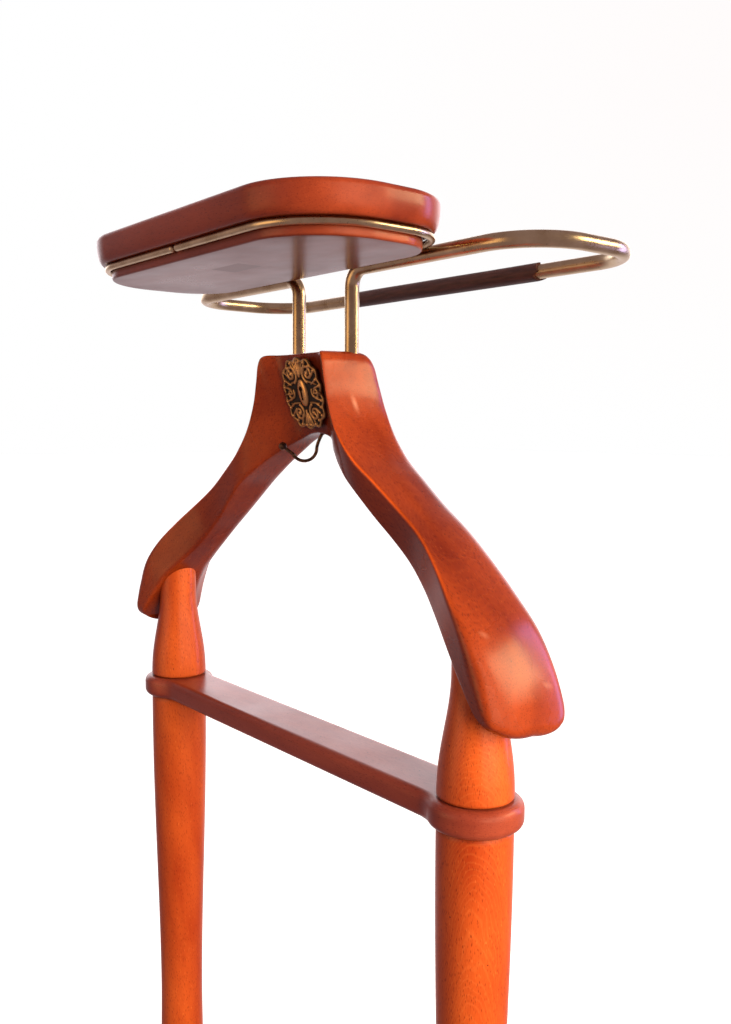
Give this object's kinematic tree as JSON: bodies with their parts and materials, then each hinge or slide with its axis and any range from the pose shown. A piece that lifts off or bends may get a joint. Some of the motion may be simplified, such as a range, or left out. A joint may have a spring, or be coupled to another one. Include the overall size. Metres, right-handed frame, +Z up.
{
  "type": "valet stand",
  "caption": "Free-standing wooden valet stand: a sculpted hanger on turned posts, with a looped metal trouser bar behind and a lift-off tray on top.",
  "frame": {"origin": "on the floor, midway between the two posts", "axes": "+X along the hanger, -Y is the front with the tray and the escutcheon, +Z up"},
  "size_m": [0.4372, 0.38, 1.0867],
  "materials": {
    "wood_red": "glossy mahogany stain on beech",
    "wood_dark": "glossy mahogany stain on beech, darker",
    "dowel_wood": "raw beech",
    "tube_metal": "aged brass plating, polished, slightly spotted",
    "antique_brass": "antique brass with dark recesses",
    "sleeve_rubber": "dark brown soft sleeve, satin",
    "glide_plastic": "black moulded plastic",
    "screw_steel": "zinc-plated steel"
  },
  "bodies": {
    "stand": {"foot_left": "wood_red", "foot_right": "wood_red", "foot_glides": "glide_plastic", "low_stretcher": "wood_red", "stretcher_dowels": "dowel_wood", "post_screws": "screw_steel", "lower_post_left": "wood_red", "lower_post_right": "wood_red", "cross_shelf": "wood_dark", "post_dowels": "dowel_wood", "spindle_left": "wood_red", "spindle_right": "wood_red", "hanger_left": "wood_red", "hanger_right": "wood_red", "hanger_dowels": "dowel_wood", "escutcheon_plate": "antique_brass", "escutcheon_pins": "antique_brass", "cup_hook": "antique_brass", "trouser_bar": "tube_metal", "bar_sleeve": "sleeve_rubber", "tray_ring": "tube_metal"},
    "tray": {"tray_slab": "wood_dark", "tray_base_board": "wood_dark"}
  },
  "joints": [
    {"name": "tray_lift", "type": "slide", "parent": "stand", "child": "tray", "axis": [0, 0, 1], "range_m": [0, 0.08]}
  ]
}
